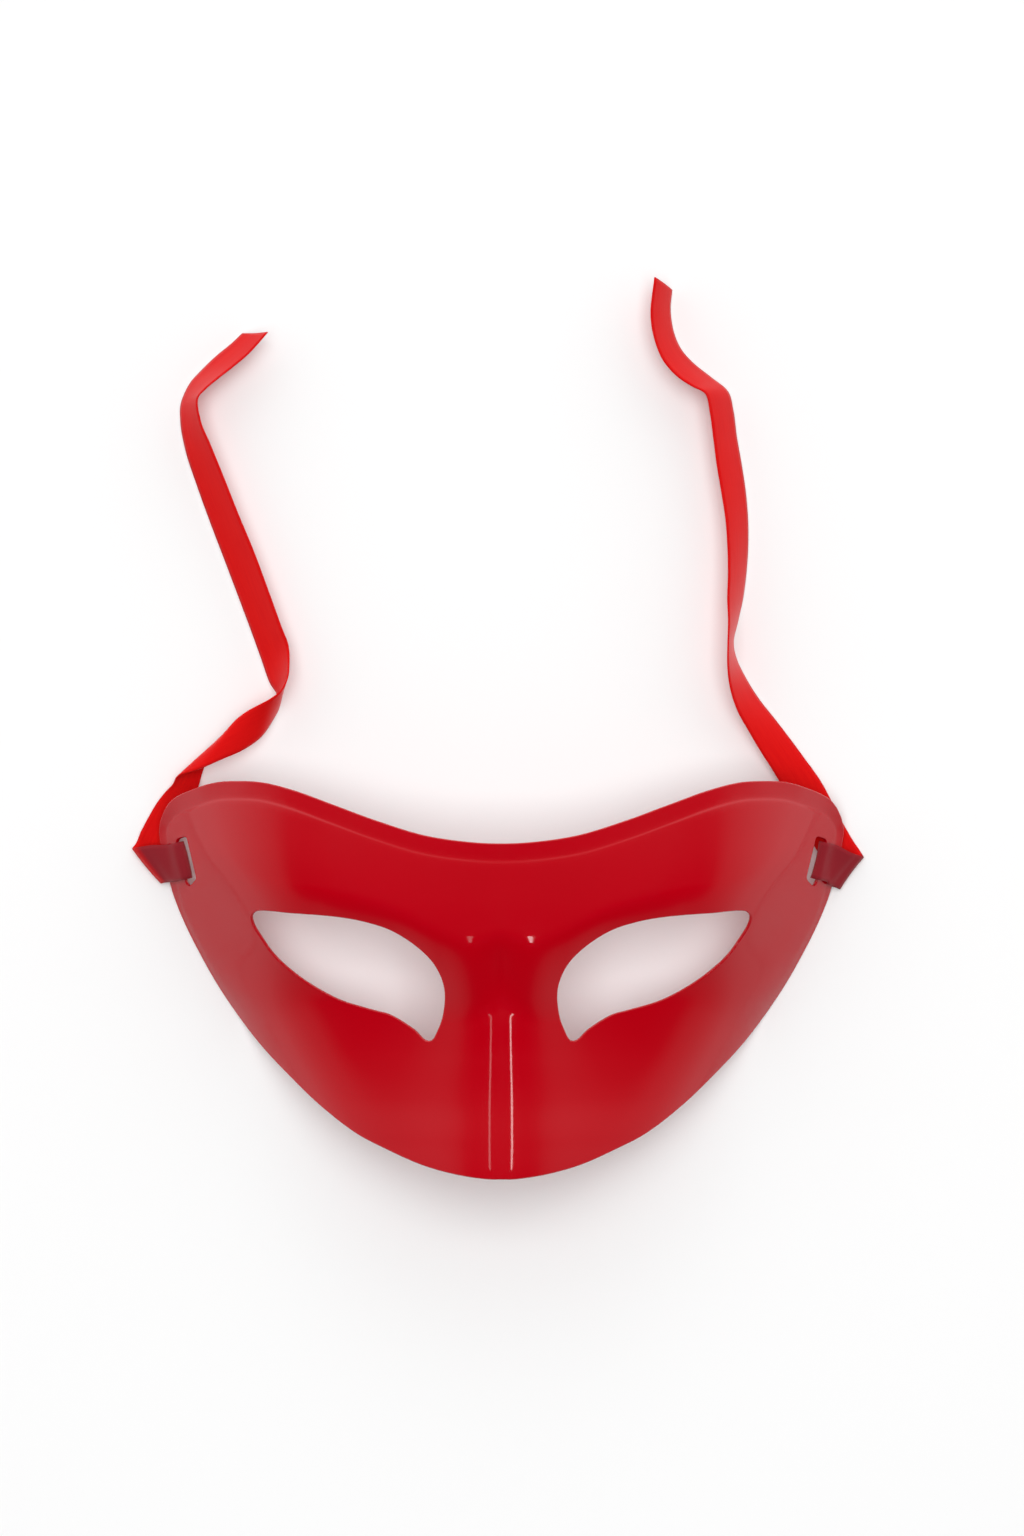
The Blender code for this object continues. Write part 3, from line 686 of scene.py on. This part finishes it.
RIGHT_RUN = (
    (9.8, 3.0, 3.8, 3.5, -5.4, 4.2),
    (11.5, 2.4, 2.5, 4.9, -5.9, 2.7),
    (12.3, 2.1, 2.1, 5.9, -6.2, 2.1),
    (13.0, 1.9, 1.4, 6.7, -6.6, 1.4),
    (12.5, 3.0, 0.6, 5.9, -5.2, 0.6),
    (10.4, 6.1, 0.6, 3.0, 0.1, 0.6),
    (7.9, 10.4, 0.6, -0.4, 5.6, 0.6),
    (5.3, 15.4, 0.8, -3.1, 11.4, 0.9),
    (1.6, 22.2, 0.8, -6.9, 17.8, 1.6),
    (-2.3, 27.6, 0.8, -10.6, 24.1, 3.0),
    (-6.3, 33.0, 0.8, -14.4, 29.9, 4.6),
    (-10.4, 38.3, 0.8, -17.7, 35.4, 6.0),
    (-14.6, 43.6, 0.8, -20.5, 40.3, 7.6),
    (-18.0, 49.0, 0.8, -22.5, 46.1, 9.2),
    (-20.5, 54.2, 0.8, -23.3, 51.8, 10.4),
    (-21.3, 58.4, 0.8, -23.3, 57.5, 10.6),
    (-20.1, 64.2, 0.8, -23.1, 63.8, 10.3),
    (-18.8, 70.2, 0.8, -23.3, 69.8, 9.8),
    (-18.0, 76.3, 0.8, -23.1, 75.9, 9.4),
    (-17.5, 83.2, 0.8, -23.2, 82.7, 9.0),
    (-17.5, 90.8, 0.8, -23.7, 90.3, 8.6),
    (-18.1, 98.2, 0.8, -24.8, 97.6, 8.4),
    (-19.2, 105.6, 0.8, -26.0, 104.7, 8.4),
    (-20.5, 113.0, 0.8, -26.9, 111.7, 8.6),
    (-21.4, 119.8, 0.8, -27.8, 118.3, 8.8),
    (-22.8, 124.7, 0.9, -29.0, 123.2, 9.2),
    (-27.1, 128.3, 0.9, -32.7, 125.3, 9.4),
    (-31.5, 131.8, 0.8, -36.5, 127.9, 9.2),
    (-34.9, 135.5, 0.8, -40.1, 132.1, 8.8),
    (-37.0, 140.1, 0.8, -42.4, 137.9, 8.6),
    (-37.9, 145.4, 0.8, -43.3, 143.9, 8.4),
    (-37.5, 151.5, 0.8, -42.3, 153.9, 8.2),
)


def wrap_stations():
    """Both sides of the ribbon round the strip of shell, for the side with positive X."""
    corners = np.array(SLOT) * HALF
    top = corners[4]
    along = corners[3] - top
    outward = np.array([-along[1], along[0]]) / np.linalg.norm(along)
    feet = [top + along * share for share in WRAP_SIDES]
    base = height([p[0] for p in feet], [p[1] for p in feet]) - TRIM
    rows = []
    for out, up in WRAP:
        one, other = (foot + outward * out for foot in feet)
        rows.append((*one, base[0] + up, *other, base[1] + up))
    return rows


def stations(run, side):
    """Every station of a ribbon, on the mask's left (side -1) or right (side 1)."""
    middle = (np.array(SLOT) * HALF).mean(axis=0)
    shift = np.array([*middle, 0.0, *middle, 0.0])
    rows = np.array(wrap_stations() + [tuple(np.array(row) + shift) for row in run])
    return rows * (side, 1, 1, side, 1, 1)


def finer(rows, spacing):
    """The stations with more between them, on smooth curves along both sides."""
    centres = (rows[:, :3] + rows[:, 3:]) / 2
    gaps = np.maximum(np.linalg.norm(np.diff(centres, axis=0), axis=1), 0.2)
    places = np.concatenate([[0.0], np.cumsum(gaps)])
    at = [0.0]
    for start, gap in zip(places, gaps):
        steps = max(1, round(gap / spacing))
        at += [start + gap * (k + 1) / steps for k in range(steps)]
    columns = [smooth_table(at, np.stack([places, column], axis=1)) for column in rows.T]
    return np.stack(columns, axis=1)


RUNS = {"left": finer(stations(LEFT_RUN, -1), 0.8), "right": finer(stations(RIGHT_RUN, 1), 0.8)}

# %% [markdown]
# ## The ribbon as cloth
# The ribbon is woven satin, a third of a millimetre thick. A strip of small quads across the
# route gives it a top and a back, a slight crown across its width, and a UV map that runs with
# the cloth, so that the threads follow every fold.

# %% Ribbon meshes
SATIN_THICKNESS = 0.32
SATIN_CROWN = 0.25
ACROSS = 10


def ribbon_strip(rows):
    """Centre points, upward normals and sideways vectors of every point of the strip."""
    one, other = rows[:, :3], rows[:, 3:]
    centre = (one + other) / 2
    along = np.gradient(centre, axis=0)
    up = np.cross(along, other - one)
    up /= np.linalg.norm(up, axis=1, keepdims=True)
    shares = np.linspace(0.0, 1.0, ACROSS + 1)
    strip = one[:, None, :] + (other - one)[:, None, :] * shares[None, :, None]
    crown = SATIN_CROWN * (1 - (2 * shares - 1) ** 2)
    return strip + up[:, None, :] * crown[None, :, None], up


def satin_ribbon(name, rows, side):
    """One ribbon as a closed thin strip, with its UV map in ribbon widths."""
    strip, up = ribbon_strip(rows)
    half = up[:, None, :] * SATIN_THICKNESS / 2
    count, wide = strip.shape[:2]
    points = np.concatenate([(strip + half).reshape(-1, 3), (strip - half).reshape(-1, 3)])
    points[:, 2] = np.maximum(points[:, 2], 0.0)
    back = count * wide
    faces = []
    for i in range(count - 1):
        for k in range(wide - 1):
            a = i * wide + k
            quad = (a, a + 1, a + wide + 1, a + wide)
            faces.append(quad)
            faces.append(tuple(back + p for p in reversed(quad)))
        a, b = i * wide, (i + 1) * wide
        faces.append((a, b, back + b, back + a))
        a, b = a + wide - 1, b + wide - 1
        faces.append((b, a, back + a, back + b))
    for k in range(wide - 1):
        faces.append((k + 1, k, back + k, back + k + 1))
        a = (count - 1) * wide + k
        faces.append((a, a + 1, back + a + 1, back + a))
    if side > 0:
        faces = [face[::-1] for face in faces]
    ribbon = add_piece(name, points, faces)
    gaps = np.linalg.norm(np.diff(strip[:, wide // 2], axis=0), axis=1)
    length = np.concatenate([[0.0], np.cumsum(gaps)])
    uv = ribbon.data.uv_layers.new(name="cloth")
    for loop in ribbon.data.loops:
        point = loop.vertex_index % back
        uv.data[loop.index].uv = (point % wide / (wide - 1), length[point // wide] / RIBBON_WIDTH)
    return ribbon


ribbons = {}
for name, rows in RUNS.items():
    side = 1 if name == "right" else -1
    ribbons[name] = satin_ribbon("satin_ribbon_" + name, rows, side)
    print(ribbons[name].name, len(ribbons[name].data.polygons), "faces")

# %% [markdown]
# ## Satin
# Satin is woven so that long warp threads float over the face, and light runs along them in one
# broad soft streak. The shader has an anisotropic gloss that follows the cloth's own UV map, a
# little fuzz, and fine lengthwise threads drawn half a millimetre apart, coarser than real ones,
# so that they show.

# %% Satin material
# Where the cloth leaves the strip of the slot, in ribbon widths along it: before there its colour
# is painted darker and duller, as shade
WRAP_SHADE_END = (1.75, 1.95)


def satin_cloth():
    """Polyester satin ribbon, dyed red."""
    material, tree, output = new_material("red_polyester_satin")
    cloth = add_node(tree, "ShaderNodeUVMap", {"uv_map": "cloth"}).outputs["UV"]
    threads = add_node(
        tree, "ShaderNodeMapping", inputs={"Vector": cloth, "Scale": (22.0, 1.2, 1.0)}
    )
    streaks = add_node(
        tree,
        "ShaderNodeTexNoise",
        inputs={"Vector": threads.outputs["Vector"], "Scale": 1.0, "Detail": 3.0},
    )
    colour = add_node(
        tree,
        "ShaderNodeMix",
        {"data_type": "RGBA"},
        {"Factor": streaks.outputs["Fac"], "A": linear("#C60C12"), "B": linear("#D41814")},
    )
    # Painted shade: the stretch that wraps the slot's strip is drawn in a darker, duller red
    # (#84222A), which fades out where the wrap ends
    run = add_node(tree, "ShaderNodeSeparateXYZ", inputs={"Vector": cloth}).outputs["Y"]
    wrap_shade_share = add_node(
        tree,
        "ShaderNodeMapRange",
        inputs={
            "Value": run,
            "From Min": WRAP_SHADE_END[0],
            "From Max": WRAP_SHADE_END[1],
            "To Min": 1.0,
            "To Max": 0.0,
        },
    )
    dyed_and_painted_shade = add_node(
        tree,
        "ShaderNodeMix",
        {"data_type": "RGBA"},
        {
            "Factor": wrap_shade_share.outputs["Result"],
            "A": colour.outputs["Result"],
            "B": linear("#84222A"),
        },
    )
    weave = add_node(
        tree,
        "ShaderNodeBump",
        inputs={"Height": streaks.outputs["Fac"], "Distance": 0.05 * MM, "Strength": 0.5},
    )
    shader = add_node(
        tree,
        "ShaderNodeBsdfPrincipled",
        inputs={
            "Base Color": dyed_and_painted_shade.outputs["Result"],
            "Roughness": 0.42,
            "Specular IOR Level": 0.35,
            "Specular Tint": linear("#FF2010"),
            "Anisotropic": 0.6,
            "Sheen Weight": 0.03,
            "Sheen Roughness": 0.4,
            "Sheen Tint": linear("#FF5A48"),
            "Normal": weave.outputs["Normal"],
        },
    )
    tree.links.new(shader.outputs["BSDF"], output.inputs["Surface"])
    return material


satin = satin_cloth()
for name, rows in RUNS.items():
    ribbon = ribbons[name]
    ribbon.data.materials.append(satin)
    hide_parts("ribbon_" + name)
    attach(ribbon, "root")

# %% [markdown]
# ## Table and light
# The mask lies on a white table in a bright room. A mirror-like shell shows its surroundings
# more than its lamps, so the surroundings are drawn first: dark overhead, where the camera is,
# and brighter toward the horizon on three sides. A soft light from above, which the gloss does
# not show, lifts the table to white, and two short strips close over the nose give the lines of
# light along its ridge.

# %% Table
bpy.ops.mesh.primitive_plane_add(size=2.4)
table = bpy.context.object
table.name = "table_top"
table_material, tree, output = new_material("white_laminate")
board = add_node(
    tree,
    "ShaderNodeBsdfPrincipled",
    inputs={"Base Color": linear("#F4F4F4"), "Roughness": 0.6, "IOR": 1.3},
)
tree.links.new(board.outputs["BSDF"], output.inputs["Surface"])
table.data.materials.append(table_material)

# %% Surroundings
world = bpy.data.worlds.new("bright_room")
bpy.context.scene.world = world
world.use_nodes = True
tree = world.node_tree
tree.nodes.clear()
# Brightness by height over the table: height as a sine, then toward the photo's foot, toward
# either side, and toward the photo's top
ROOM = (
    (0.000, 0.56, 1.28, 2.27),
    (0.242, 0.38, 1.24, 1.97),
    (0.438, 0.24, 0.87, 1.70),
    (0.588, 0.16, 0.55, 1.22),
    (0.695, 0.094, 0.335, 0.685),
    (0.766, 0.043, 0.068, 0.320),
    (0.819, 0.018, 0.018, 0.236),
    (0.866, 0.008, 0.007, 0.222),
    (0.940, 0.004, 0.003, 0.120),
    (1.000, 0.002, 0.002, 0.050),
)
ROOM_TOP = 2.5
direction = add_node(tree, "ShaderNodeTexCoord").outputs["Generated"]
parts = add_node(tree, "ShaderNodeSeparateXYZ", inputs={"Vector": direction})


def maths(operation, a, b):
    """One step of arithmetic in the world's tree."""
    return add_node(tree, "ShaderNodeMath", {"operation": operation}, {0: a, 1: b}).outputs[0]


def wall(column):
    """Brightness of one wall of the room by height."""
    ramp = add_node(tree, "ShaderNodeValToRGB", inputs={"Fac": parts.outputs["Z"]})
    elements = ramp.color_ramp.elements
    while len(elements) < len(ROOM):
        elements.new(0.5)
    for element, row in zip(elements, ROOM):
        element.position = row[0]
        element.color = (*[row[column] / ROOM_TOP] * 3, 1.0)
    return ramp.outputs["Color"]


across_x = maths("MULTIPLY", parts.outputs["X"], parts.outputs["X"])
across_y = maths("MULTIPLY", parts.outputs["Y"], parts.outputs["Y"])
flat = maths("SQRT", maths("ADD", maths("ADD", across_x, across_y), 1e-8), 0.0)
turn = maths("DIVIDE", parts.outputs["Y"], flat)
to_top = maths("MAXIMUM", turn, 0.0)
to_foot = maths("MAXIMUM", maths("MULTIPLY", turn, -1.0), 0.0)
to_side = maths("SUBTRACT", maths("SUBTRACT", 1.0, to_top), to_foot)
light = maths("MULTIPLY", wall(1), to_foot)
light = maths("ADD", light, maths("MULTIPLY", wall(2), to_side))
light = maths("ADD", light, maths("MULTIPLY", wall(3), to_top))
light = maths("MULTIPLY", light, ROOM_TOP)
background = add_node(
    tree, "ShaderNodeBackground", inputs={"Color": linear("#FFFFFF"), "Strength": light}
)
output = add_node(tree, "ShaderNodeOutputWorld")
tree.links.new(background.outputs["Background"], output.inputs["Surface"])


def area_light(name, place, aim, size, power, in_gloss=True):
    """A lamp of two side lengths at a place in mm, turned towards another, long side along Y."""
    data = bpy.data.lights.new(name, "AREA")
    data.shape = "RECTANGLE"
    data.size = size[0] * MM
    data.size_y = size[1] * MM
    data.energy = power
    lamp = bpy.data.objects.new(name, data)
    lamp.location = [v * MM for v in place]
    back = (Vector(place) - Vector(aim)).normalized()
    side = Vector((0, 1, 0)).cross(back).normalized()
    lamp.rotation_euler = Matrix((side, back.cross(side), back)).transposed().to_euler()
    lamp.visible_glossy = in_gloss
    bpy.context.scene.collection.objects.link(lamp)
    return lamp


NOSE_RIDGE = (0, -30, 35)
area_light("overhead_soft", (0, 150, 1500), (0, 20, 0), (1350, 1350), 19.0, in_gloss=False)
strips = [
    area_light("strip_left", (-43.5, 1, 174), NOSE_RIDGE, (6, 36), 0.0016),
    area_light("strip_right", (40.5, 1, 174), NOSE_RIDGE, (6, 36), 0.0060),
]
for strip in strips:
    strip.visible_camera = False

scene = bpy.context.scene
scene.view_settings.view_transform = "Standard"
scene.view_settings.look = "None"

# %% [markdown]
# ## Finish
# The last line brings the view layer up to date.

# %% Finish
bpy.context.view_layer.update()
